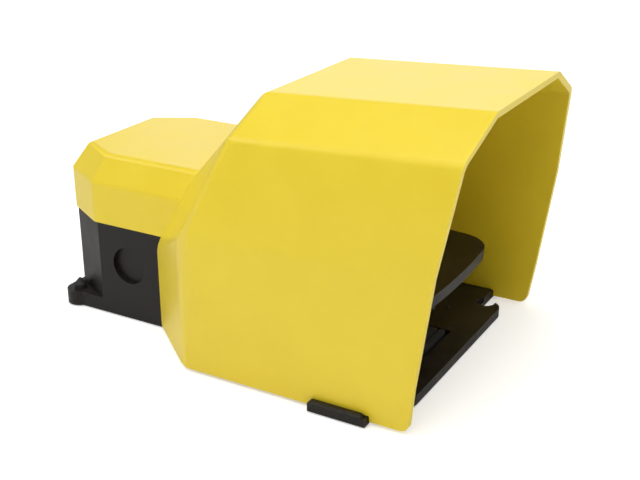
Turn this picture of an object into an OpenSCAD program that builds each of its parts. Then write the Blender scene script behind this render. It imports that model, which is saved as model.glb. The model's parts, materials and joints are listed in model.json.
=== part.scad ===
// Single-pedal industrial foot switch with a protective hood.
// X is the width, the foot enters towards +Y, Z is up. The origin is on the ground,
// under the centre of the whole switch.

/* [Hood] */
// Width of the hood over its widest part
hood_w = 175.5; // [166:0.5:196]
// Height of the roof above the ground at the foot of the mouth
hood_h = 153.5; // [140:0.5:170]
// Width of the flat part of the roof
roof_w = 88; // [70:1:100]
// Height lost from the roof edge to the shoulder edge
shoulder_drop = 16; // [10:0.5:22]
// Inward lean of the flanks above their knee, in degrees
flank_lean = 12.4; // [9:0.1:15]
// Height of the flanks' knee above the ground
knee_z = 85.3; // [76:0.1:94]
// How far each flank turns in at its bottom edge
tuck = 2.85; // [1.5:0.05:3.5]
// Height above the ground at which the flanks are vertical
tuck_z = 26.8; // [20:0.1:34]
// Fall of the roof towards the back, in degrees
roof_fall = 3; // [1:0.5:4]
// Forward lean of the mouth, in degrees
mouth_lean = 7.7; // [4:0.1:10]
// Wall of the hood
hood_wall = 3.5; // [3:0.1:4.5]
// Gap between the hood's bottom edge and the underside of the base
hood_lift = 1.1; // [0.6:0.1:2]
// Distance from the foot of the mouth to the back edge of the roof
roof_len = 103.5; // [95:0.5:112]
// Lean of the hood's back, in degrees from upright
back_lean = 41; // [38:0.5:43]
// Distance from the foot of the mouth to the back end of the shoulder edges
shoulder_len = 105.3; // [102:0.1:108]
// Height above the ground up to which the flanks' back edges are upright
corner_z = 78.2; // [72:0.1:82]
// Distance from the foot of the mouth to where the hood's corners meet the lid's shoulder
joint_y = 155.2; // [152:0.2:160]
// Distance from the foot of the mouth to where the flanks reach the box
sweep_y = 173.2; // [171:0.2:177]
// Direction in which the swept ends of the flanks face, in degrees from straight back
sweep_turn = 50; // [46:0.5:54]
// Radius of the roof edges
roof_r = 5; // [3:0.5:7]
// Radius of the shoulder edges
shoulder_r = 9; // [6:0.5:12]
// Radius of the edges round the back
back_r = 10; // [6:0.5:14]
// Radius where the flanks sweep in to the switch box
flank_r = 36; // [24:1:44]

/* [Switch box] */
// Width of the box
box_w = 101.6; // [98:0.2:108]
// Distance from the foot of the mouth to the outside of the box's front wall
box_front = 136; // [134:0.5:140]
// Distance from the foot of the mouth to the back of the box
box_end = 241.5; // [238:0.5:248]
// Height of the box's rim above the ground
box_h = 57.6; // [56.6:0.2:62]
// Wall of the box
box_wall = 4; // [3.5:0.1:5]
// Size of the box's back corner cuts along X
box_cut_x = 13; // [10:0.5:16]
// Size of the box's back corner cuts along Y
box_cut_y = 26; // [22:0.5:28]
// Thickness of the box floor
box_floor = 4; // [3:0.2:5]

/* [Lid] */
// Height of the lid's roof above the ground
lid_h = 97.9; // [92:0.5:104]
// Height of the lid's shoulder above the ground
lid_shoulder = 81.7; // [78:0.5:85]
// Overhang of the lid behind the box
lid_over = 4.4; // [3:0.2:6]
// Slope inset of the lid's flanks
lid_in_x = 7.2; // [5:0.2:9]
// Slope inset of the lid's back
lid_in_y = 11; // [8:0.5:13]
// Slope inset of the lid's back corners
lid_in_c = 9.8; // [8:0.2:11]
// Size of the lid's back corner cuts along X
lid_cut_x = 16; // [13:0.5:19]
// Size of the lid's back corner cuts along Y
lid_cut_y = 28.3; // [25:0.5:31]
// Height of the lid's seating flange
seat_h = 5; // [4:0.5:7]
// Radius of the lid's edges
lid_r = 4; // [2:0.5:6]

/* [Floor plate] */
// Thickness of the floor plate
plate_t = 5.6; // [4.6:0.1:6]
// Distance from the foot of the mouth to the plate's front edge
plate_front = 8; // [6:0.5:10]
// Width of the plate's front tongue
tongue_w = 129; // [122:1:134]
// Radius of the tongue's front corners
tongue_r = 8; // [5:0.5:9]
// Distance from the foot of the mouth to the front of the hooks
hook_front = 21; // [20.5:0.5:24]
// Length of the hooks
hook_len = 32.4; // [26:0.2:38]
// Height of the hooks above the underside of the base
hook_h = 5.6; // [5:0.1:8]
// Thickness of the hooks outside the hood
hook_t = 3.7; // [3:0.1:5]
// Width of the fixing slots
slot_w = 5.5; // [4.5:0.1:6]
// Distance between the inner ends of the two fixing slots, centre to centre
slot_gap = 124; // [118:1:126]
// Radius of the screw-head dish round each slot
dish_r = 5.5; // [4.5:0.1:6.5]
// Depth of the screw-head dish
dish_d = 2.5; // [1.5:0.1:3]
// Width of the well at the front of the plate
well_w = 34; // [26:1:40]
// Length of the well
well_l = 20; // [14:1:24]
// Depth of the well
well_d = 3; // [2:0.1:3.6]

/* [Ears and feet] */
// Radius of the ears
ear_r = 8; // [7:0.1:9]
// Height of the ears above the underside of the base
ear_h = 8.7; // [7:0.1:10]
// Distance between the ear centres
ear_gap = 90.8; // [86:0.2:94]
// How far the rubber feet stand below the base
foot_proud = 0.8; // [0.5:0.1:2]
// Radius of the rubber feet
foot_r = 6; // [5:0.1:6.5]
// Radius of the stems of the feet
stem_r = 2.8; // [2.2:0.1:3]
// Height of the barbed tips of the rear feet above the ears
barb_h = 6.3; // [5:0.1:7.5]
// Radius of the barbed tips
barb_r = 3.6; // [3.3:0.1:4]
// Distance between the front feet
front_feet_gap = 89; // [80:1:96]
// Distance from the foot of the mouth to the front feet
front_feet_y = 35; // [32:0.5:40]

/* [Pedal] */
// Width of the pedal plate
pedal_w = 113; // [96:1:120]
// Thickness of the pedal plate
pedal_t = 6.5; // [5.5:0.1:8]
// Height of the pedal's top above the ground at its front edge
pedal_z = 48.8; // [48.4:0.1:50]
// Rise of the pedal towards the back, in degrees
pedal_rise = 3; // [1.5:0.1:4]
// Distance from the foot of the mouth to the middle of the pedal's front edge
pedal_front = 12; // [10:0.5:16]
// How far the middle of the pedal's front edge bows forward
pedal_bow = 1.6; // [0:0.1:3]
// Radius of the pedal's front corners
pedal_r = 17.5; // [10:0.5:22]
// Distance from the foot of the mouth to the back edge of the pedal plate
pedal_back = 124; // [116:0.5:126]
// Depth of the pedal's neck
neck_d = 16; // [13:0.5:16]
// Width of the pedal's neck
neck_w = 37; // [34:1:40]
// Wall of the pedal's neck and ribs
rib_t = 3.5; // [2.5:0.1:4]
// Travel of the pedal, in degrees
pedal_travel = 5.5; // [4:0.1:5.5]

/* [Pivot] */
// Distance from the foot of the mouth to the pivot pin
pivot_y = 214; // [211:0.5:216]
// Height of the pivot pin above the ground
pivot_z = 43; // [41.5:0.1:44]
// Radius of the pivot pin
pin_r = 4; // [3:0.1:4.5]
// Radius of the pedal's hub
hub_r = 8; // [7.5:0.1:9]
// Thickness of the two posts that carry the pin
post_t = 6; // [4:0.2:8]
// Running clearance of the pin in its bushes, on the radius
pin_fit = 0.05; // [0.02:0.01:0.09]

/* [Contact block] */
// Distance from the foot of the mouth to the plunger
block_y = 178; // [176:0.5:180]
// Width of the contact block
block_w = 34; // [32:1:36]
// Length of the contact block's tower
tower_l = 26; // [25:0.5:28]
// Width of the tower
tower_w = 19; // [18:0.5:21]
// Height of the terminal deck above the ground
deck_z = 19.5; // [19:0.1:20]
// Radius of the plunger
plunger_r = 3; // [2.5:0.1:3.4]
// Distance between the two contact pairs
pole_gap = 12; // [11:0.5:13]

/* [Cable entries] */
// Radius of the knock-outs
entry_r = 11.25; // [8:0.05:12]
// Distance from the foot of the mouth to the knock-outs
entry_y = 194.5; // [190:0.5:198]
// Height of the knock-outs above the ground
entry_z = 34.5; // [30:0.5:38]
// Web left at the bottom of each knock-out
entry_web = 1; // [0.6:0.1:1.5]

/* [Fits] */
// Gap between bodies that move and what they bear on at rest
rest_gap = 0.3; // [0.2:0.05:0.5]
// Radial clearance of pressed-in and screwed parts in their holes
press_fit = 0.02; // [0.01:0.01:0.05]
// Gap between the hood and the base where they slide together
hood_fit = 0.3; // [0.2:0.05:0.5]
// Gap between the box's rim and the lid, which the gasket fills
lid_gap = 0.2; // [0.1:0.05:0.4]

/* [Hidden] */
$fn = 48;

hood_color = [0.93, 0.80, 0.20];
base_color = [0.20, 0.18, 0.17];
rubber_color = [0.13, 0.13, 0.13];
steel_color = [0.72, 0.72, 0.74];
brass_color = [0.80, 0.65, 0.30];
block_color = [0.86, 0.84, 0.78];

far = 400;                       // longer than anything it cuts
arc_step = 9;                    // degrees per facet of a rounded corner
base_z = foot_proud;             // underside of the base
plate_z = base_z + plate_t;      // top of the floor plate
floor_z = base_z + box_floor;    // inside floor of the box
hood_z = base_z + hood_lift;     // bottom edge of the hood
lid_z = box_h + lid_gap;         // bottom face of the lid
hood_x = hood_w / 2;
foot_x = hood_x - tuck;            // half width across the bottom edges
box_x = box_w / 2;
box_in = box_front + box_wall;
lid_x = box_x + 0.1;
lid_end = box_end + lid_over;
ear_x = ear_gap / 2;
ear_y = lid_end - ear_r;
slot_x = slot_gap / 2;
slot_y = hook_front - slot_w / 2;
tongue_x = tongue_w / 2;
entry_d = box_wall - entry_web;

// Height of the roof at distance y from the foot of the mouth
function roof_z(y) = hood_h - y * tan(roof_fall);
// Half width of the hood's outside at a height z below the widest part
function flank_x(z) = hood_x - (tuck_z - z) * tuck / (tuck_z - hood_z);

mouth_y = -(roof_z(-22) - hood_z) * tan(mouth_lean);
mid_y = (mouth_y + lid_end) / 2;

hub_half = neck_w / 2 - 3;
bush_flange = 1.5;
bush_r = pin_r + 1.5;
post_in = hub_half + bush_flange + rest_gap;
post_out = post_in + post_t;
clip_t = 1;
clip_x = post_out + 0.2;
pin_half = clip_x + clip_t + 1.5;

neck_top = pedal_z + 2.2;
neck_z = neck_top - neck_d;          // underside of the neck at the window
neck_back_z = neck_top - 10.8;       // underside of the neck over the contact block
neck_half = neck_w / 2;
channel_z = neck_top - 4;            // roof of the neck's channel
front_drop = (pivot_y - box_front) * sin(pedal_travel);
window_half = neck_half + 3.5;
window_low = neck_z - front_drop - 1.5;
window_top = neck_top + rest_gap + 2.2;
tab_z = pedal_z - pedal_t;           // underside of the pedal plate at its front

block_front = block_y - tower_l / 2 - 9;
spring_y = (box_in + block_front) / 2;
spring_wire = 0.9;
spring_r = (block_front - box_in) / 2 - spring_wire - 0.8;
spigot_r = spring_r - spring_wire - 0.3;

buffer_h = well_d + 1.2;
buffer_y = hook_front + well_l / 2;
stop_half = 6;
stop_drop = (pivot_y - buffer_y + stop_half) * sin(pedal_travel);
stop_z = plate_z - well_d + buffer_h + rest_gap + stop_drop;

plunger_drop = (pivot_y - block_y) * tan(pedal_travel);
plunger_top = channel_z - 4.6;
tower_z = plunger_top - 8;           // top of the contact block
deck_half = block_w / 2;
tower_half = tower_w / 2;
tower_y = tower_l / 2;
cap_t = 2.4;
strip_t = 1;
strip_w = 5;
rivet_r = 1.4;
rivet_h = 0.8;
strip_z = deck_z + strip_t;
carrier_half = 2.4;
cavity_half = 6.6;
cavity_y = tower_y - 3;
cavity_floor = base_z + box_floor + 1.5;
bridge_t = 1;
bridge_w = 3.6;
bridge_half = 6.3;
tip_x = 4.8;
make_z = strip_z + 2 * rivet_h + plunger_drop + 0.05;
break_z = deck_z - 2 * rivet_h - bridge_t;
coil_h = 2.8;                        // height of the contact springs
carrier_low = break_z - coil_h - 1.5;
carrier_top = make_z + bridge_t + coil_h + 1.5;
term_x = 13.2;

screw_xy = [[38, box_in + 9], [31, box_end - 17]];
screw_post_r = 6;
screw_well_r = 4.2;
screw_r = 2;
thread_r = screw_r - 0.3;           // plain stand-in for the screw's thread
screw_seat = box_h - 14;
screw_len = 24;

// ---- helpers ----

function unit(v) = v / norm(v);
function side_normal(a, b) = unit([a.y - b.y, b.x - a.x]);
// Outline moved inwards by d; its points run anticlockwise
function inset(pts, d) = let (n = len(pts)) [for (i = [0:n - 1])
    let (p = pts[(i + n - 1) % n], q = pts[i], r = pts[(i + 1) % n],
         a = side_normal(p, q), b = side_normal(q, r)) q + (a + b) * d / (1 + a * b)];
// Arc of radius r that replaces corner q between p and s
function corner_arc(p, q, s, r) = let (
    u = unit(q - p), v = unit(s - q), turn = atan2(cross(u, v), u * v))
    r <= 0 || abs(turn) < 1 ? [q] : let (
    t = r * tan(abs(turn) / 2), n = [-u.y, u.x] * sign(turn), c = q - u * t + n * r,
    a0 = atan2(-n.y, -n.x), steps = max(1, ceil(abs(turn) / arc_step)))
    [for (i = [0:steps]) c + r * [cos(a0 + turn * i / steps), sin(a0 + turn * i / steps)]];
// Outline with each corner rounded to its own radius
function rounded(pts, radii) = let (n = len(pts)) [for (i = [0:n - 1])
    each corner_arc(pts[(i + n - 1) % n], pts[i], pts[(i + 1) % n], radii[i])];
// Right-hand half outline and its mirror image
function both_sides(half) = concat(half, [for (i = [len(half) - 1:-1:0]) [-half[i].x, half[i].y]]);
// Rectangular outline with its two back corners cut
function box_outline(half, front, back, cut_x, cut_y) =
    [[-half, front], [half, front], [half, back - cut_y], [half - cut_x, back],
     [cut_x - half, back], [-half, back - cut_y]];

module in_place() { translate([0, -mid_y, 0]) children(); }
module both_x() { children(); mirror([1, 0, 0]) children(); }
// Profile in X and Z, carried along Y
module along_y(pts, from, to) {
    translate([0, to, 0]) rotate([90, 0, 0]) linear_extrude(to - from) polygon(pts);
}
// Profile in Y and Z, carried along X
module along_x(pts, half) {
    rotate([90, 0, 90]) translate([0, 0, -half]) linear_extrude(2 * half) polygon(pts);
}
module tube_x(r, x0, x1) { translate([x0, 0, 0]) rotate([0, 90, 0]) cylinder(r = r, h = x1 - x0); }
module block(x0, x1, y0, y1, z0, z1) { translate([x0, y0, z0]) cube([x1 - x0, y1 - y0, z1 - z0]); }

// Round wire wound into a compression spring that stands on z0
module coil_spring(r, wire, z0, z1, turns, per_turn, sides) {
    rings = turns * per_turn;
    points = [for (i = [0:rings], k = [0:sides - 1])
        let (a = i * 360 / per_turn, b = k * 360 / sides,
             z = z0 + wire + (z1 - z0 - 2 * wire) * i / rings)
        [(r + wire * cos(b)) * cos(a), (r + wire * cos(b)) * sin(a), z + wire * sin(b)]];
    walls = [for (i = [0:rings - 1], k = [0:sides - 1])
        let (n = (k + 1) % sides) each [
            [i * sides + k, (i + 1) * sides + n, i * sides + n],
            [i * sides + k, (i + 1) * sides + k, (i + 1) * sides + n]]];
    first_end = [for (k = [0:sides - 1]) k];
    last_end = [for (k = [sides - 1:-1:0]) rings * sides + k];
    polyhedron(points, concat(walls, [first_end, last_end]));
}

// ---- hood ----

// The guard is the space between flat faces. A face is its outward normal and its distance
// from the origin.
function face(n, p, d) = [n, n * p - d];
// Face through three points
function through(a, b, c, d) = face(unit(cross(b - a, c - a)), a, d);
// Normal turned round Z from straight back to the right, and leaning inwards
function facing(turn, lean) = [sin(turn) * cos(lean), cos(turn) * cos(lean), sin(lean)];
// Normal of a face that runs parallel to the roof's slope
function sloped(lean) = [cos(lean), sin(lean) * sin(roof_fall), sin(lean) * cos(roof_fall)];
// Faces tangent to a rounding of radius r between faces f and g
function blend(f, g, r) = let (
    k = f[0] * g[0], u = f[1] - r, v = g[1] - r, steps = ceil(acos(k) / 13),
    c = ((u - k * v) * f[0] + (v - k * u) * g[0]) / (1 - k * k))
    steps < 2 ? [] : [for (i = [1:steps - 1])
        let (n = unit((steps - i) * f[0] + i * g[0])) [n, c * n + r]];

shoulder_z = hood_h - shoulder_drop;
shoulder_x = hood_x - (shoulder_z - knee_z) * tan(flank_lean);
slope_lean = atan2(shoulder_x - roof_w / 2, shoulder_drop * cos(roof_fall));
bow_soft = 100;                      // radius of the flanks' knee and of the turn below it

// Corners of the back: ends of the roof edge and the shoulder edge, points where the faces
// behind them meet the lid, and the top of the upright stretch of the flank's back edge
roof_end = [roof_w / 2, roof_len, roof_z(roof_len)];
shoulder_end = [shoulder_x, shoulder_len, shoulder_z - shoulder_len * tan(roof_fall)];
lid_edge = [lid_x - lid_in_x, roof_len + (roof_z(roof_len) - lid_h) * tan(back_lean), lid_h];
lid_corner = [lid_x, joint_y, lid_shoulder];
flank_end = [hood_x, sweep_y - (hood_x - box_x) * tan(sweep_turn), corner_z];

// Right-hand faces and roundings of the guard, moved inwards by d
function guard_half(d) = let (
    roof = face(sloped(90), [0, 0, hood_h], d),
    slope = face(sloped(slope_lean), [roof_w / 2, 0, hood_h], d),
    upper = face(sloped(flank_lean), [hood_x, 0, knee_z], d),
    flank = face([1, 0, 0], [hood_x, 0, 0], d),
    low = face(facing(90, -atan2(tuck, tuck_z - hood_z)), [foot_x, 0, hood_z], d),
    sweep = face(facing(sweep_turn, 0), [box_x, sweep_y, 0], d),
    corner = through(shoulder_end, flank_end, lid_corner, d),
    haunch = through(roof_end, shoulder_end, lid_edge, d),
    back = face(facing(0, back_lean), [0, roof_len, roof_z(roof_len)], d),
    tight = back_r - d, soft = 2 * back_r - d)
    concat([roof, slope, upper, flank, low, sweep, corner, haunch, back],
        blend(roof, slope, max(roof_r - d, 0.8)), blend(slope, upper, max(shoulder_r - d, 0.8)),
        blend(upper, flank, bow_soft), blend(flank, low, bow_soft),
        blend(flank, sweep, flank_r - d), blend(sweep, corner, soft),
        blend(flank, corner, tight), blend(upper, corner, tight),
        blend(corner, haunch, soft), blend(haunch, back, soft),
        blend(slope, haunch, tight), blend(roof, back, tight));

// What lies beyond a face
module beyond(f) {
    rotate([0, 0, atan2(f[0].y, f[0].x)]) rotate([0, -asin(f[0].z), 0])
        translate([f[1], -far, -far]) cube([far, 2 * far, 2 * far]);
}
// A block with everything beyond the faces cut away, right and left
module within(faces, i = 0) {
    if (i == len(faces)) block(-hood_w, hood_w, -60, lid_end, -30, hood_h + 20);
    else difference() {
        within(faces, i + 1);
        both_x() beyond(faces[i]);
    }
}
module guard_form(d) { within(guard_half(d)); }

// Everything behind the leaning mouth and above the hood's bottom edge
module mouth_cut() {
    top = 260;
    along_x(rounded([[0, hood_z], [far, hood_z], [far, top],
        [-(top - hood_z) * tan(mouth_lean), top]], [5, 0, 0, 0]), hood_w);
}

// Lid over the switch box, from its front wall to the back
corner_turn = atan2(lid_cut_x, lid_cut_y);
corner_reach = lid_x * cos(corner_turn) + (lid_end - lid_cut_y) * sin(corner_turn);
lid_plan = box_outline(lid_x, box_front, lid_end, lid_cut_x, lid_cut_y);
lid_low = lid_z - 20;
function lid_side(reach, in) = [[-far, lid_low], [reach, lid_low], [reach, lid_shoulder],
    [reach - in, lid_h], [-far, lid_h]];

module lid_form(d, low) {
    r = max(lid_r - d, 0.6);
    intersection() {
        translate([0, 0, low]) linear_extrude(lid_h - low)
            polygon(rounded(inset(lid_plan, d), [0, 0, r, r, r, r]));
        along_y(rounded(inset(both_sides([[lid_x, lid_low], [lid_x, lid_shoulder],
            [lid_x - lid_in_x, lid_h]]), d), [0, 2 * r, r, r, 2 * r, 0]), 0, far);
        along_x(rounded(inset(lid_side(lid_end, lid_in_y), d), [0, 0, 2 * r, r, 0]), hood_w);
        both_x_cut(rounded(inset(lid_side(corner_reach, lid_in_c), d), [0, 0, 2 * r, r, 0]));
    }
}
// Slanted back corners of the lid, right and left
module both_x_cut(pts) {
    intersection() {
        rotate([0, 0, corner_turn]) along_y(pts, -far, far);
        mirror([1, 0, 0]) rotate([0, 0, corner_turn]) along_y(pts, -far, far);
    }
}

module screw_places() {
    both_x() for (p = screw_xy) translate([p.x, p.y, 0]) children();
}

module guard_hood() {
    boss_r = 4.6;
    in_place() color(hood_color) difference() {
        union() {
            intersection() {
                difference() {
                    guard_form(0);
                    difference() {
                        guard_form(hood_wall);
                        lid_form(0, lid_z);
                    }
                }
                mouth_cut();
            }
            lid_form(0, lid_z);
        }
        difference() {
            union() {
                lid_form(hood_wall, lid_z + seat_h);
                translate([0, 0, lid_z - 1]) linear_extrude(seat_h + 1.01)
                    polygon(inset(base_outline, box_wall));
            }
            screw_places() translate([0, 0, lid_z]) cylinder(r = boss_r, h = lid_h - lid_z);
        }
        // room for the box below the lid, and for the hooks
        translate([0, 0, hood_z - 1]) linear_extrude(lid_z - hood_z + 1)
            polygon(inset(base_outline, -hood_fit));
        both_x() block(hood_x - 12, hood_x + 5, hook_front - hood_fit,
            hook_front + hook_len + hood_fit, hood_z - 1, base_z + arm_t + hood_fit);
        screw_places() translate([0, 0, lid_z - 1]) cylinder(r = thread_r + press_fit, h = screw_len - 12);
    }
}

// ---- base ----

arm_t = 4.2;
base_outline = box_outline(box_x, box_front, box_end, box_cut_x, box_cut_y);
plate_x = foot_x - hood_wall - 0.6;
plate_outline = both_sides([[tongue_x, plate_front], [tongue_x, hook_front], [plate_x, hook_front],
    [plate_x, box_front - 24], [box_x + 11, box_front + 14], [box_x - 1, box_front + 24]]);
plate_radii = [tongue_r, 0, 1.5, 12, 6, 0, 0, 6, 12, 1.5, 0, tongue_r];

module hook() {
    x0 = flank_x(base_z + hook_h) + hood_fit;
    x1 = x0 + hook_t;
    back = hook_front + hook_len;
    block(plate_x - 3, x1, hook_front, back, base_z, base_z + arm_t);
    intersection() {
        along_y([[x0, base_z], [x1, base_z], [x1, base_z + hook_h - 0.8],
            [x1 - 0.8, base_z + hook_h], [x0, base_z + hook_h]], hook_front + 2, back);
        along_x(rounded([[hook_front + 2, base_z - 1], [back, base_z - 1], [back, base_z + hook_h],
            [hook_front + 2, base_z + hook_h]], [0, 0, 1.5, 1.5]), hood_w);
    }
}

module ear() {
    translate([0, 0, base_z]) linear_extrude(ear_h) union() {
        translate([ear_x, ear_y]) circle(r = ear_r);
        polygon([[box_x, box_end - 30], [box_x, ear_y], [ear_x, lid_end],
            [box_x - 22, lid_end], [box_x - 22, box_end - 3], [box_x - 6, box_end - 30]]);
    }
}

// Shallow cores under the floor plate, which leave a grid of ribs
module plate_cores() {
    for (i = [-2:2], j = [0:2])
        translate([i * 30 - 12.5, 60 + j * 23, base_z - 1]) cube([25, 18, 3.4]);
}

module post() {
    difference() {
        block(post_in, post_out, pivot_y - 9, pivot_y + 9, floor_z - 1, pivot_z + 8);
        translate([0, pivot_y, pivot_z]) tube_x(pin_r + press_fit, post_in - 1, post_out + 1);
    }
    // gusset that ties the post to the floor
    translate([post_in, 0, 0]) rotate([90, 0, 90]) linear_extrude(post_t)
        polygon([[pivot_y + 9, floor_z - 1], [pivot_y + 18, floor_z - 1], [pivot_y + 9, pivot_z - 6]]);
}

module base_housing() {
    in_place() color(base_color) difference() {
        union() {
            difference() {
                union() {
                    // floor plate and hooks
                    translate([0, 0, base_z]) linear_extrude(plate_t)
                        polygon(rounded(plate_outline, plate_radii));
                    both_x() hook();
                    both_x() ear();
                    // switch box, hollow down to its floor
                    translate([0, 0, base_z]) linear_extrude(box_h - base_z)
                        polygon(rounded(base_outline, [0, 0, 2, 2, 2, 2]));
                }
                translate([0, 0, floor_z]) linear_extrude(box_h)
                    polygon(inset(base_outline, box_wall));
            }
            // posts
            both_x() post();
            screw_places() translate([0, 0, floor_z - 1])
                cylinder(r = screw_post_r, h = box_h - floor_z + 1);
            translate([0, spring_y, floor_z - 1]) cylinder(r = spigot_r, h = 5);
            for (s = [-1, 1]) translate([0, block_y + s * (tower_y + 5), floor_z - 1])
                cylinder(r = 4, h = 2.2);
        }
        // window for the pedal's neck
        block(-window_half, window_half, box_front - 1, box_in + 1, window_low, window_top);
        // groove for the gasket
        translate([0, 0, box_h - gasket_d]) linear_extrude(gasket_d + 1) difference() {
            polygon(inset(base_outline, gasket_in));
            polygon(inset(base_outline, gasket_in + gasket_w));
        }
        // cable entries
        both_x() translate([0, entry_y, entry_z]) tube_x(entry_r, box_x - entry_d, box_x + 1);
        // fixing slots with their dishes
        both_x() {
            translate([slot_x, slot_y, base_z - 1]) cylinder(r = slot_w / 2, h = plate_t + 2);
            block(slot_x, tongue_x + 9, slot_y - slot_w / 2, slot_y + slot_w / 2, base_z - 1, plate_z + 1);
            translate([slot_x, slot_y, plate_z - dish_d]) cylinder(r = dish_r, h = dish_d + 1);
        }
        // well at the front
        block(-well_w / 2, well_w / 2, hook_front, hook_front + well_l, plate_z - well_d, plate_z + 1);
        // seats of the feet
        both_x() {
            translate([ear_x, ear_y, base_z - 1]) cylinder(r = foot_r + 0.2, h = 1 + foot_seat);
            translate([ear_x, ear_y, base_z]) cylinder(r = stem_r + press_fit, h = ear_h + 1);
            translate([front_feet_gap / 2, front_feet_y, base_z - 1])
                cylinder(r = foot_r + 0.2, h = 1 + foot_seat);
            translate([front_feet_gap / 2, front_feet_y, base_z]) cylinder(r = pip_r + press_fit, h = plate_t + 1);
        }
        // screw wells from below, and the screw holes
        screw_places() {
            translate([0, 0, base_z - 1]) cylinder(r = screw_well_r, h = screw_seat - base_z + 1);
            cylinder(r = screw_r + 0.3, h = box_h + 1);
        }
        for (s = [-1, 1]) translate([0, block_y + s * (tower_y + 5), floor_z - 2.5])
            cylinder(r = 1.6 + press_fit, h = 5);
        plate_cores();
    }
}

gasket_in = 1.2;
gasket_w = 1.6;
gasket_d = 1.6;
foot_seat = 1.2;
pip_r = 1.6;

module lid_gasket() {
    in_place() color(rubber_color) translate([0, 0, box_h - gasket_d])
        linear_extrude(gasket_d + lid_gap) difference() {
            polygon(inset(base_outline, gasket_in));
            polygon(inset(base_outline, gasket_in + gasket_w));
        }
}

module hood_screws() {
    in_place() color(steel_color) screw_places() {
        translate([0, 0, screw_seat - 3]) difference() {
            cylinder(r = 3.7, h = 3);
            translate([0, 0, -1]) cylinder(r = 1.8, h = 2.6, $fn = 6);
        }
        translate([0, 0, screw_seat]) cylinder(r = thread_r, h = screw_len);
    }
}

// Push-in foot: a disc under the base, a stem through it and a barbed tip above
module rear_foot() {
    top = base_z + ear_h;
    nose = 0.9;
    rotate_extrude() polygon([[0, 0], [foot_r - 0.8, 0], [foot_r, 0.8], [foot_r, base_z + foot_seat],
        [stem_r, base_z + foot_seat], [stem_r, top], [barb_r, top], [barb_r, top + 2.6],
        [nose + 0.35, top + barb_h - 0.9], [nose, top + barb_h - 0.35], [0, top + barb_h]]);
}
module rear_feet() {
    in_place() color(rubber_color) both_x() translate([ear_x, ear_y, 0]) rear_foot();
}
module front_feet() {
    in_place() color(rubber_color) both_x() translate([front_feet_gap / 2, front_feet_y, 0])
        rotate_extrude() polygon([[0, 0], [foot_r - 0.8, 0], [foot_r, 0.8],
            [foot_r, base_z + foot_seat], [pip_r, base_z + foot_seat], [pip_r, plate_z],
            [pip_r - 0.5, plate_z + 0.6], [0, plate_z + 0.8]]);
}

// ---- pedal ----

// Plan of the plate: a bowed front edge between large corners
bow_span = pedal_w / 2 - pedal_r;
bow_r = (bow_span * bow_span + pedal_bow * pedal_bow) / (2 * pedal_bow + 0.001);
function bow_y(x) = pedal_front + bow_r - sqrt(bow_r * bow_r - x * x);
bow_steps = 8;
pedal_plan = concat(
    [for (i = [1:bow_steps - 1]) let (x = bow_span * (2 * i / bow_steps - 1)) [x, bow_y(x)]],
    corner_arc([0, bow_y(bow_span)], [pedal_w / 2, bow_y(bow_span)], [pedal_w / 2, pedal_back], pedal_r),
    corner_arc([pedal_w / 2, 0], [pedal_w / 2, pedal_back], [0, pedal_back], 10),
    corner_arc([0, pedal_back], [-pedal_w / 2, pedal_back], [-pedal_w / 2, 0], 10),
    corner_arc([-pedal_w / 2, pedal_back], [-pedal_w / 2, bow_y(bow_span)], [0, bow_y(bow_span)], pedal_r));

neck_side = [[pedal_back - 40, neck_top], [pedal_back - 40, tab_z + 1], [box_front - 24, neck_z],
    [box_in - 1, neck_z], [box_in + 14, neck_back_z], [pivot_y - 14, neck_back_z],
    [pivot_y, pivot_z - hub_r], [pivot_y, neck_top]];
// Carries a level plate onto the pedal's slope
module risen() {
    translate([0, pedal_front, pedal_z]) rotate([pedal_rise, 0, 0])
        translate([0, -pedal_front, -pedal_z]) children();
}

module pedal() {
    shell = 3;
    in_place() color(base_color) difference() {
        union() {
            // plate: a shell with a rim and a grid of ribs below
            risen() difference() {
                translate([0, 0, tab_z]) linear_extrude(pedal_t) polygon(pedal_plan);
                translate([0, 0, tab_z - 1]) linear_extrude(pedal_t - shell + 1)
                    intersection() {
                        polygon(inset(pedal_plan, rib_t));
                        union() for (i = [-3:2], j = [0:3])
                            translate([i * 17.5 + 1, pedal_front + 5 + j * 26]) square([15.5, 23.5]);
                    }
            }
            // crossed stop ribs over the well
            block(-9, 9, buffer_y - 1.5, buffer_y + 1.5, stop_z, tab_z + 2.5);
            block(-1.5, 1.5, buffer_y - stop_half, buffer_y + stop_half, stop_z, tab_z + 2.5);
            // neck and hub
            along_x(neck_side, neck_half);
            translate([0, pivot_y, pivot_z]) tube_x(hub_r, -hub_half, hub_half);
        }
        // channel under the neck
        block(rib_t - neck_half, neck_half - rib_t, box_front - 16, pivot_y - hub_r - 2,
            neck_z - 5, channel_z);
        // the hub is narrower than the neck
        both_x() block(hub_half, neck_half + 1, pivot_y - 13, pivot_y + hub_r + 1,
            pivot_z - hub_r - 4, neck_top + 1);
        translate([0, pivot_y, pivot_z]) tube_x(bush_r + press_fit, -hub_half - 1, hub_half + 1);
    }
    in_place() color(base_color) {
        translate([0, spring_y, channel_z - 4]) cylinder(r = spigot_r, h = 4.5);
        translate([0, block_y, plunger_top + rest_gap])
            cylinder(r = 5, h = channel_z - plunger_top - rest_gap + 0.5);
    }
}

module pivot_pin() {
    in_place() color(steel_color) translate([0, pivot_y, pivot_z]) difference() {
        tube_x(pin_r, -pin_half, pin_half);
        both_x() difference() {
            tube_x(pin_r + 1, clip_x, clip_x + clip_t + 0.1);
            tube_x(pin_r - 0.6, clip_x - 1, clip_x + clip_t + 1);
        }
    }
}

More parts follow.
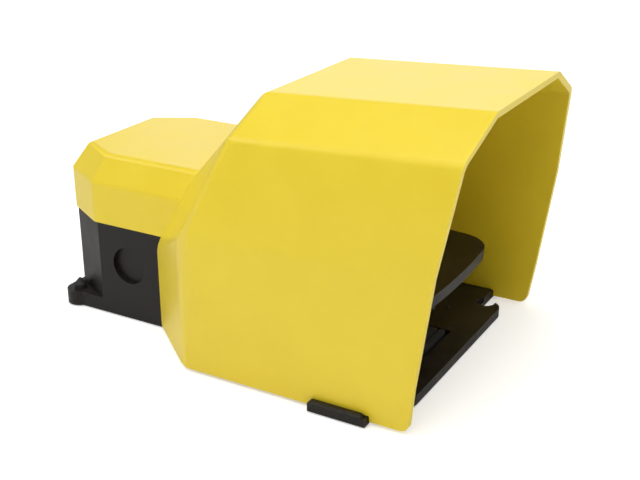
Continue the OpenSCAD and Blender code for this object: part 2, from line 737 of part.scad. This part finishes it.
module pivot_bushes() {
    in_place() color(brass_color) both_x() translate([0, pivot_y, pivot_z]) difference() {
        union() {
            tube_x(bush_r, hub_half - 12, hub_half);
            tube_x(hub_r - 0.5, hub_half, hub_half + bush_flange);
        }
        tube_x(pin_r + pin_fit, hub_half - 13, hub_half + bush_flange + 1);
    }
}

module pin_clips() {
    in_place() color(steel_color) both_x() translate([0, pivot_y, pivot_z]) difference() {
        tube_x(pin_r + 2.5, clip_x + 0.05, clip_x + 0.05 + clip_t - 0.1);
        tube_x(pin_r - 0.58, clip_x - 1, clip_x + clip_t + 1);
        block(clip_x - 1, clip_x + clip_t + 1, -1.8, 1.8, -pin_r - 4, 0);
    }
}

module return_spring() {
    in_place() color(steel_color) translate([0, spring_y, 0])
        coil_spring(spring_r, spring_wire, floor_z, channel_z, 8, 16, 8);
}

module down_buffer() {
    in_place() color(rubber_color) difference() {
        block(-well_w / 2 + 3, well_w / 2 - 3, hook_front + 2.5, hook_front + well_l - 2.5,
            plate_z - well_d, plate_z - well_d + buffer_h);
        // two grooves that let the rubber give
        for (s = [-1, 1]) block(-well_w / 2, well_w / 2, buffer_y + s * 3.6 - 0.8, buffer_y + s * 3.6 + 0.8,
            plate_z - well_d + buffer_h - 1, plate_z + buffer_h);
    }
}

module rest_buffer() {
    in_place() color(rubber_color)
        block(-neck_half + 3, neck_half - 3, box_front, box_in, neck_top + rest_gap, window_top);
}

// ---- contact block ----

module at_block() { in_place() translate([0, block_y, 0]) children(); }
module at_poles() { for (s = [-1, 1]) translate([0, s * pole_gap / 2, 0]) children(); }

module switch_body() {
    cap_low = tower_z - cap_t;
    at_block() color(block_color) difference() {
        union() {
            block(-deck_half, deck_half, -tower_y, tower_y, floor_z, deck_z);
            block(-tower_half, tower_half, -tower_y, tower_y, floor_z, cap_low);
            block(-tower_half + 3, tower_half - 3, -tower_y - 9, tower_y + 9, floor_z, floor_z + 3.5);
            // barrier between the two poles
            block(-deck_half, deck_half, -0.8, 0.8, deck_z - 1, deck_z + 5.5);
        }
        block(-cavity_half, cavity_half, -cavity_y, cavity_y, cavity_floor, tower_z);
        // slots that the fixed contacts pass through
        at_poles() block(-tower_half - 1, tower_half + 1, -strip_w / 2 - 0.1, strip_w / 2 + 0.1,
            deck_z, strip_z + 0.1);
        // terminal screw holes
        at_poles() both_x() translate([term_x, 0, deck_z - 7])
            cylinder(r = 1.5 + press_fit, h = 8);
        for (s = [-1, 1]) translate([0, s * (tower_y + 5), floor_z - 4]) {
            cylinder(r = 4.05, h = 5.2);
            cylinder(r = 1.9, h = 12);
        }
        both_x() for (s = [-1, 1]) translate([tower_half - 1.9, s * (tower_y - 1.6), cap_low - 6])
            cylinder(r = 0.9 + press_fit, h = 7);
    }
}

module switch_cap() {
    at_block() color(block_color) difference() {
        union() {
            block(-tower_half, tower_half, -tower_y, tower_y, tower_z - cap_t, tower_z);
            translate([0, 0, tower_z - cap_t]) cylinder(r = plunger_r + 2.2, h = cap_t + 0.8);
        }
        translate([0, 0, tower_z - cap_t - 1]) cylinder(r = plunger_r + pin_fit, h = cap_t + 3);
        both_x() for (s = [-1, 1]) translate([tower_half - 1.9, s * (tower_y - 1.6), tower_z - cap_t - 1])
            cylinder(r = 1.05, h = cap_t + 2);
    }
}

module cap_screws() {
    at_block() color(steel_color) both_x() for (s = [-1, 1])
        translate([tower_half - 1.9, s * (tower_y - 1.6), 0]) {
            translate([0, 0, tower_z - cap_t - 5]) cylinder(r = 0.9, h = cap_t + 5);
            translate([0, 0, tower_z]) cylinder(r = 1.6, h = 1.1);
        }
}

module switch_screws() {
    at_block() color(steel_color) for (s = [-1, 1]) translate([0, s * (tower_y + 5), 0]) {
        translate([0, 0, floor_z - 2.5]) cylinder(r = 1.6, h = 6);
        translate([0, 0, floor_z + 3.5]) difference() {
            cylinder(r = 3.2, h = 2.2);
            block(-4, 4, -0.5, 0.5, 1, 3);
        }
    }
}

// Plunger with its guide rod, domed head and the carrier of the two bridges
module plunger() {
    hole_h = bridge_t + coil_h;
    hole_w = bridge_w / 2 + 0.2;
    at_block() color([0.75, 0.12, 0.10]) difference() {
        union() {
            rotate_extrude() polygon([[0, carrier_top - 1], [plunger_r, carrier_top - 1],
                [plunger_r, plunger_top - 2.6], [plunger_r + 1.6, plunger_top - 2.2],
                [plunger_r + 1.6, plunger_top - 1], [plunger_r, plunger_top - 0.2], [0, plunger_top]]);
            block(-carrier_half, carrier_half, -pole_gap / 2 - 3.2, pole_gap / 2 + 3.2,
                carrier_low, carrier_top);
            translate([0, 0, carrier_low - 1.5]) cylinder(r = 2, h = 2);
        }
        translate([0, -pole_gap / 2, make_z]) block(-5, 5, -hole_w, hole_w, 0, hole_h);
        translate([0, pole_gap / 2, break_z - coil_h]) block(-5, 5, -hole_w, hole_w, 0, hole_h);
    }
}

module plunger_spring() {
    at_block() color(steel_color)
        coil_spring(3.1, 0.3, cavity_floor, carrier_low, 3, 16, 6);
}

// Bridge strip with a contact tip at each end, tips up or down
module bridge(z, up) {
    block(-bridge_half, bridge_half, -bridge_w / 2, bridge_w / 2, z, z + bridge_t);
    both_x() translate([tip_x, 0, up ? z + bridge_t : z - rivet_h]) cylinder(r = rivet_r, h = rivet_h);
}
module make_bridge() {
    at_block() color(brass_color) translate([0, -pole_gap / 2, 0]) bridge(make_z, false);
}
module break_bridge() {
    at_block() color(brass_color) translate([0, pole_gap / 2, 0]) bridge(break_z, true);
}
module contact_springs() {
    at_block() color(steel_color) {
        translate([0, -pole_gap / 2, 0])
            coil_spring(1.3, 0.2, make_z + bridge_t, make_z + bridge_t + coil_h, 4, 10, 6);
        translate([0, pole_gap / 2, 0]) coil_spring(1.3, 0.2, break_z - coil_h, break_z, 4, 10, 6);
    }
}

// Fixed contact: a strip from the terminal into the block, with its tip
module fixed_contact(up) {
    difference() {
        block(tip_x - 1.8, deck_half - 0.4, -strip_w / 2, strip_w / 2, deck_z, strip_z);
        translate([term_x, 0, deck_z - 1]) cylinder(r = 1.9, h = 3);
    }
    translate([tip_x, 0, up ? strip_z : deck_z - rivet_h]) cylinder(r = rivet_r, h = rivet_h);
}
module make_contacts() {
    at_block() color(brass_color) translate([0, -pole_gap / 2, 0]) both_x() fixed_contact(true);
}
module break_contacts() {
    at_block() color(brass_color) translate([0, pole_gap / 2, 0]) both_x() fixed_contact(false);
}

module terminal_clamps() {
    at_block() color(steel_color) at_poles() both_x() difference() {
        block(term_x - 3, deck_half - 0.6, -2.9, 2.9, strip_z, strip_z + 1.2);
        translate([term_x, 0, strip_z - 1]) cylinder(r = 1.9, h = 4);
    }
}

module terminal_screws() {
    at_block() color(steel_color) at_poles() both_x() translate([term_x, 0, 0]) {
        translate([0, 0, deck_z - 6]) cylinder(r = 1.5, h = strip_t + 7.2);
        translate([0, 0, strip_z + 1.2]) difference() {
            cylinder(r = 2.8, h = 2);
            block(-3, 3, -0.4, 0.4, 1, 3);
        }
    }
}

base_housing();
guard_hood();
lid_gasket();
hood_screws();
rear_feet();
front_feet();
pedal();
pivot_pin();
pivot_bushes();
pin_clips();
return_spring();
down_buffer();
rest_buffer();
switch_body();
switch_cap();
cap_screws();
switch_screws();
plunger();
plunger_spring();
make_bridge();
break_bridge();
contact_springs();
make_contacts();
break_contacts();
terminal_clamps();
terminal_screws();
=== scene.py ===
import bpy, bmesh, json, math
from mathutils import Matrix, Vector


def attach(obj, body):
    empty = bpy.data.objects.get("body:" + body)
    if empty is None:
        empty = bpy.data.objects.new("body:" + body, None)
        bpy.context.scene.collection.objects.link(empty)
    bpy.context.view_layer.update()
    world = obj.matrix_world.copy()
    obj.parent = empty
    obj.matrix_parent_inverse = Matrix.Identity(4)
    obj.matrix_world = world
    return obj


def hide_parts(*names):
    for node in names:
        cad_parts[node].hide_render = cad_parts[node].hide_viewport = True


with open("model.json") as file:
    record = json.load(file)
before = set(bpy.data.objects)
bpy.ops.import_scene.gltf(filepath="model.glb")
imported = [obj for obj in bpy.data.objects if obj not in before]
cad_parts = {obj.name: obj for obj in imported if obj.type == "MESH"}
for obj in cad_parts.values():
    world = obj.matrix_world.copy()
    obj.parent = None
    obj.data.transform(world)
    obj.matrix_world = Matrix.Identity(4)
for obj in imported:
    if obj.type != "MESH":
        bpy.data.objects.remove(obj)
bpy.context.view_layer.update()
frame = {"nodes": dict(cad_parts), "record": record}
scene = bpy.context.scene
mm = 0.001

# camera, low on the left of the mouth

view = {"place": (-0.4948, -0.2968, 0.2869), "target": (0.0004, -0.0159, 0.0524),
    "lens": 61.03, "sensor": 36, "nearest": 0.02}

def makeCamera():
    camera = bpy.data.objects.new("camera", bpy.data.cameras.new("camera"))
    scene.collection.objects.link(camera)
    camera.location = view["place"]
    look = Vector(view["target"]) - Vector(view["place"])
    camera.rotation_euler = look.to_track_quat("-Z", "Y").to_euler()
    camera.data.lens = view["lens"]
    camera.data.sensor_width = view["sensor"]
    camera.data.clip_start = view["nearest"]
    scene.camera = camera

makeCamera()
print("camera placed")

# studio: pale floor, even backdrop and five soft lights

studio = {
    "floorSize": 6.0, "floorColor": (0.93, 0.93, 0.93, 1), "floorRough": 0.9, "floorGlow": 0.42,
    "world": 0.30, "backdrop": 0.72,
    "lights": [  # name, place, target, size, watts
        ("softTop", (-0.15, -0.10, 1.25), (0, 0, 0), 1.2, 7.5),
        ("leftPanel", (-0.95, -0.15, 1.05), (0, 0, 0.07), 1.0, 4.0),
        ("mouthPanel", (0.25, -1.30, 0.70), (0, 0, 0.05), 0.8, 3.8),
        ("farPanel", (1.30, 0.66, 0.50), (0, 0, 0.12), 1.1, 3.0),
        ("backPanel", (-0.55, 1.05, 0.95), (0, 0.05, 0.07), 0.9, 3.6),
    ],
}

def seenStrength(tree, seen, other):
    # one strength for the camera, another for the light that reaches the part
    ray = tree.nodes.new("ShaderNodeLightPath")
    node = tree.nodes.new("ShaderNodeMath")
    node.operation = "MULTIPLY_ADD"
    tree.links.new(ray.outputs["Is Camera Ray"], node.inputs[0])
    node.inputs[1].default_value = seen - other
    node.inputs[2].default_value = other
    return node.outputs[0]

def makeStudio():
    bm = bmesh.new()
    bmesh.ops.create_grid(bm, x_segments=1, y_segments=1, size=studio["floorSize"] / 2)
    mesh = bpy.data.meshes.new("studioFloor")
    bm.to_mesh(mesh)
    bm.free()
    floor = bpy.data.objects.new("studioFloor", mesh)
    scene.collection.objects.link(floor)
    paper = bpy.data.materials.new("palePaper")
    paper.use_nodes = True
    shader = paper.node_tree.nodes["Principled BSDF"]
    shader.inputs["Base Color"].default_value = studio["floorColor"]
    shader.inputs["Roughness"].default_value = studio["floorRough"]
    shader.inputs["Emission Color"].default_value = (1, 1, 1, 1)
    glow = seenStrength(paper.node_tree, studio["floorGlow"], 0)
    paper.node_tree.links.new(glow, shader.inputs["Emission Strength"])
    mesh.materials.append(paper)
    world = bpy.data.worlds.new("studioWorld")
    world.use_nodes = True
    sky = world.node_tree.nodes["Background"]
    sky.inputs["Color"].default_value = (1, 1, 1, 1)
    shown = seenStrength(world.node_tree, studio["backdrop"], studio["world"])
    world.node_tree.links.new(shown, sky.inputs["Strength"])
    scene.world = world
    for name, place, target, size, watts in studio["lights"]:
        lamp = bpy.data.lights.new(name, "AREA")
        lamp.shape = "DISK"
        lamp.size = size
        lamp.energy = watts
        light = bpy.data.objects.new(name, lamp)
        light.location = place
        light.rotation_euler = (Vector(target) - Vector(place)).to_track_quat("-Z", "Y").to_euler()
        scene.collection.objects.link(light)
    scene.view_settings.view_transform = "Standard"

makeStudio()
print("studio built")

# shader groups shared by the finishes

def newGroup(name, inputs, outputs):
    group = bpy.data.node_groups.new(name, "ShaderNodeTree")
    for label, kind, value in inputs:
        socket = group.interface.new_socket(label, in_out="INPUT", socket_type=kind)
        if value is not None:
            socket.default_value = value
    for label, kind in outputs:
        group.interface.new_socket(label, in_out="OUTPUT", socket_type=kind)
    return group, group.nodes.new("NodeGroupInput"), group.nodes.new("NodeGroupOutput")

def mathNode(tree, operation, first, second):
    node = tree.nodes.new("ShaderNodeMath")
    node.operation = operation
    for slot, value in ((0, first), (1, second)):
        if isinstance(value, (int, float)):
            node.inputs[slot].default_value = value
        else:
            tree.links.new(value, node.inputs[slot])
    return node.outputs[0]

def noiseNode(tree, vector, scale, detail=2.0, roughness=0.5):
    node = tree.nodes.new("ShaderNodeTexNoise")
    tree.links.new(vector, node.inputs["Vector"])
    for label, value in (("Scale", scale), ("Detail", detail), ("Roughness", roughness)):
        if isinstance(value, (int, float)):
            node.inputs[label].default_value = value
        else:
            tree.links.new(value, node.inputs[label])
    return node.outputs["Fac"]

def rangeNode(tree, value, low, high, toLow=0.0, toHigh=1.0):
    node = tree.nodes.new("ShaderNodeMapRange")
    tree.links.new(value, node.inputs["Value"])
    for label, number in (("From Min", low), ("From Max", high), ("To Min", toLow), ("To Max", toHigh)):
        if isinstance(number, (int, float)):
            node.inputs[label].default_value = number
        else:
            tree.links.new(number, node.inputs[label])
    return node.outputs["Result"]

grainLook = {"scale": 1500.0, "ripple": 120.0, "share": 0.4, "mottle": (38.0, 4.0, 0.6), "spread": (0.3, 0.7)}
wearLook = {"width": 0.0012, "breakup": 260.0, "turn": (0.995, 0.90), "spots": (0.42, 0.62), "samples": 4}
dustLook = {"amount": 0.2, "up": (0.35, 1.0), "patches": (55.0, 5.0, 0.65), "spread": (0.38, 0.7),
    "color": (0.55, 0.52, 0.46), "roughness": 0.5}

def buildMouldGrain():
    # fine spark-eroded texture with a softer ripple under it
    group, start, end = newGroup("mouldGrain",
        [("Vector", "NodeSocketVector", None), ("Grain Scale", "NodeSocketFloat", grainLook["scale"]),
         ("Ripple Scale", "NodeSocketFloat", grainLook["ripple"]),
         ("Ripple Share", "NodeSocketFloat", grainLook["share"])],
        [("Height", "NodeSocketFloat"), ("Mottle", "NodeSocketFloat")])
    grain = noiseNode(group, start.outputs["Vector"], start.outputs["Grain Scale"], 3.0, 0.6)
    ripple = noiseNode(group, start.outputs["Vector"], start.outputs["Ripple Scale"], 2.0, 0.5)
    mottle = noiseNode(group, start.outputs["Vector"], *grainLook["mottle"])
    share = mathNode(group, "MULTIPLY", ripple, start.outputs["Ripple Share"])
    group.links.new(mathNode(group, "ADD", grain, share), end.inputs["Height"])
    group.links.new(rangeNode(group, mottle, *grainLook["spread"]), end.inputs["Mottle"])
    return group

def buildEdgeWear():
    # rubbed convex edges: where a rounded normal leaves the true one, broken up by noise
    group, start, end = newGroup("edgeWear",
        [("Vector", "NodeSocketVector", None), ("Width", "NodeSocketFloat", wearLook["width"]),
         ("Breakup", "NodeSocketFloat", wearLook["breakup"])], [("Mask", "NodeSocketFloat")])
    bevel = group.nodes.new("ShaderNodeBevel")
    bevel.samples = wearLook["samples"]
    group.links.new(start.outputs["Width"], bevel.inputs["Radius"])
    geometry = group.nodes.new("ShaderNodeNewGeometry")
    dot = group.nodes.new("ShaderNodeVectorMath")
    dot.operation = "DOT_PRODUCT"
    group.links.new(bevel.outputs["Normal"], dot.inputs[0])
    group.links.new(geometry.outputs["Normal"], dot.inputs[1])
    edge = rangeNode(group, dot.outputs["Value"], *wearLook["turn"])
    noise = noiseNode(group, start.outputs["Vector"], start.outputs["Breakup"], 4.0, 0.65)
    spots = rangeNode(group, noise, *wearLook["spots"])
    group.links.new(mathNode(group, "MULTIPLY", edge, spots), end.inputs["Mask"])
    return group

def buildDustFilm():
    # thin settled dust on faces that look up
    group, start, end = newGroup("dustFilm",
        [("Vector", "NodeSocketVector", None), ("Amount", "NodeSocketFloat", dustLook["amount"])],
        [("Mask", "NodeSocketFloat")])
    geometry = group.nodes.new("ShaderNodeNewGeometry")
    split = group.nodes.new("ShaderNodeSeparateXYZ")
    group.links.new(geometry.outputs["Normal"], split.inputs[0])
    up = rangeNode(group, split.outputs["Z"], *dustLook["up"])
    noise = noiseNode(group, start.outputs["Vector"], *dustLook["patches"])
    patches = rangeNode(group, noise, *dustLook["spread"])
    film = mathNode(group, "MULTIPLY", up, patches)
    group.links.new(mathNode(group, "MULTIPLY", film, start.outputs["Amount"]), end.inputs["Mask"])
    return group

mouldGrain = buildMouldGrain()
edgeWear = buildEdgeWear()
dustFilm = buildDustFilm()

def placeGroup(tree, group, vector, values):
    node = tree.nodes.new("ShaderNodeGroup")
    node.node_tree = group
    tree.links.new(vector, node.inputs["Vector"])
    for label, value in values.items():
        node.inputs[label].default_value = value
    return node

def blendColor(tree, factor, first, second):
    node = tree.nodes.new("ShaderNodeMix")
    node.data_type = "RGBA"
    tree.links.new(factor, node.inputs["Factor"])
    for label, value in (("A", first), ("B", second)):
        socket = [s for s in node.inputs if s.name == label and s.type == "RGBA"][0]
        if isinstance(value, tuple):
            socket.default_value = (*value, 1)
        else:
            tree.links.new(value, socket)
    return [s for s in node.outputs if s.type == "RGBA"][0]

# finishes: color and shade are the two tones of the mottle, worn the color of rubbed edges

finishes = {
    "hoodYellow": {"color": (0.91, 0.70, 0.036), "shade": (0.885, 0.67, 0.031), "worn": (0.93, 0.76, 0.14),
        "rough": (0.30, 0.38), "grain": 1600, "ripple": 150, "share": 0.55, "bump": 0.10, "depth": 0.00035,
        "dust": 0.02, "wear": 0.25, "metallic": 0.0},
    "baseBlack": {"color": (0.0105, 0.0078, 0.0066), "shade": (0.0075, 0.0056, 0.0047), "worn": (0.06, 0.055, 0.05),
        "rough": (0.40, 0.52), "grain": 1900, "ripple": 170, "share": 0.5, "bump": 0.12, "depth": 0.0003,
        "dust": 0.03, "wear": 0.35, "metallic": 0.0, "shine": 0.34},
    "softRubber": {"color": (0.016, 0.016, 0.016), "shade": (0.011, 0.011, 0.011), "worn": (0.05, 0.05, 0.05),
        "rough": (0.62, 0.78), "grain": 2200, "ripple": 240, "share": 0.4, "bump": 0.15, "depth": 0.0003,
        "dust": 0.10, "wear": 0.3, "metallic": 0.0},
    "platedSteel": {"color": (0.60, 0.60, 0.59), "shade": (0.50, 0.50, 0.50), "worn": (0.75, 0.75, 0.74),
        "rough": (0.24, 0.36), "grain": 2600, "ripple": 400, "share": 0.3, "bump": 0.06, "depth": 0.0002,
        "dust": 0.02, "wear": 0.4, "metallic": 1.0},
    "contactBrass": {"color": (0.72, 0.50, 0.20), "shade": (0.60, 0.40, 0.15), "worn": (0.85, 0.66, 0.34),
        "rough": (0.26, 0.38), "grain": 2400, "ripple": 360, "share": 0.3, "bump": 0.05, "depth": 0.0002,
        "dust": 0.02, "wear": 0.4, "metallic": 1.0},
    "blockIvory": {"color": (0.70, 0.66, 0.55), "shade": (0.64, 0.60, 0.49), "worn": (0.78, 0.75, 0.66),
        "rough": (0.36, 0.46), "grain": 1900, "ripple": 200, "share": 0.4, "bump": 0.08, "depth": 0.0003,
        "dust": 0.03, "wear": 0.3, "metallic": 0.0},
    "plungerRed": {"color": (0.50, 0.030, 0.020), "shade": (0.42, 0.024, 0.016), "worn": (0.62, 0.12, 0.09),
        "rough": (0.30, 0.40), "grain": 1900, "ripple": 200, "share": 0.4, "bump": 0.07, "depth": 0.0003,
        "dust": 0.02, "wear": 0.3, "metallic": 0.0},
}

def makeFinish(name):
    look = finishes[name]
    material = bpy.data.materials.new(name)
    material.use_nodes = True
    tree = material.node_tree
    shader = tree.nodes["Principled BSDF"]
    place = tree.nodes.new("ShaderNodeTexCoord").outputs["Object"]
    grain = placeGroup(tree, mouldGrain, place,
        {"Grain Scale": look["grain"], "Ripple Scale": look["ripple"], "Ripple Share": look["share"]})
    wear = placeGroup(tree, edgeWear, place, {})
    dust = placeGroup(tree, dustFilm, place, {"Amount": look["dust"]})
    body = blendColor(tree, grain.outputs["Mottle"], look["shade"], look["color"])
    wornShare = mathNode(tree, "MULTIPLY", wear.outputs["Mask"], look["wear"])
    rubbed = blendColor(tree, wornShare, body, look["worn"])
    dusty = blendColor(tree, dust.outputs["Mask"], rubbed, dustLook["color"])
    tree.links.new(dusty, shader.inputs["Base Color"])
    rough = rangeNode(tree, grain.outputs["Mottle"], 0, 1, look["rough"][0], look["rough"][1])
    matte = mathNode(tree, "MULTIPLY", dust.outputs["Mask"], dustLook["roughness"])
    tree.links.new(mathNode(tree, "ADD", rough, matte), shader.inputs["Roughness"])
    shader.inputs["Metallic"].default_value = look["metallic"]
    shader.inputs["Specular IOR Level"].default_value = look.get("shine", 0.5)
    bump = tree.nodes.new("ShaderNodeBump")
    bump.inputs["Strength"].default_value = look["bump"]
    bump.inputs["Distance"].default_value = look["depth"]
    tree.links.new(grain.outputs["Height"], bump.inputs["Height"])
    tree.links.new(bump.outputs["Normal"], shader.inputs["Normal"])
    return material

materials = {name: makeFinish(name) for name in finishes}
print("finishes mixed")

slotFinish = {"hood_yellow": "hoodYellow", "base_black": "baseBlack", "rubber": "softRubber",
    "steel": "platedSteel", "contact_brass": "contactBrass", "block_ivory": "blockIvory",
    "plunger_red": "plungerRed"}

def finishNodes():
    for part in frame["record"]["subparts"]:
        node = frame["nodes"][part["node"]]
        node.data.materials.clear()
        node.data.materials.append(materials[slotFinish[part["material_slot"]]])

finishNodes()

# moulded pieces: the frame's solids with their edges softened; sharp is in degrees

moulded = {
    "guard_hood": {"piece": "moulded_hood", "body": "housing", "slot": "hood_yellow",
        "edge": 1.3 * mm, "steps": 3, "sharp": 24},
    "base_housing": {"piece": "moulded_base", "body": "housing", "slot": "base_black",
        "edge": 0.45 * mm, "steps": 2, "sharp": 28},
    "pedal": {"piece": "moulded_pedal", "body": "pedal", "slot": "base_black",
        "edge": 0.8 * mm, "steps": 3, "sharp": 28},
}

clean = {"weld": 0.004 * mm, "flat": math.radians(0.6), "crease": math.radians(50)}

def mouldedPiece(node, look):
    bm = bmesh.new()
    bm.from_mesh(frame["nodes"][node].data)
    bmesh.ops.remove_doubles(bm, verts=bm.verts, dist=clean["weld"])
    bmesh.ops.dissolve_limit(bm, angle_limit=clean["flat"], verts=bm.verts, edges=bm.edges)
    sharp = [e for e in bm.edges if len(e.link_faces) == 2
        and e.calc_face_angle(0) > math.radians(look["sharp"])]
    bmesh.ops.bevel(bm, geom=sharp, offset=look["edge"], offset_type="OFFSET", segments=look["steps"],
        profile=0.5, affect="EDGES", clamp_overlap=True, material=-1)
    for face in bm.faces:
        face.smooth = True
    for edge in bm.edges:
        edge.smooth = edge.calc_face_angle(0) < clean["crease"]
    mesh = bpy.data.meshes.new(look["piece"])
    bm.to_mesh(mesh)
    bm.free()
    mesh.materials.append(materials[slotFinish[look["slot"]]])
    piece = bpy.data.objects.new(look["piece"], mesh)
    scene.collection.objects.link(piece)
    weighted = piece.modifiers.new("faceNormals", "WEIGHTED_NORMAL")
    weighted.keep_sharp = True
    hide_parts(node)
    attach(piece, look["body"])
    print(look["piece"], len(mesh.polygons), "faces", len(sharp), "edges softened")
    return piece

for node, look in moulded.items():
    mouldedPiece(node, look)
print("moulded pieces made")
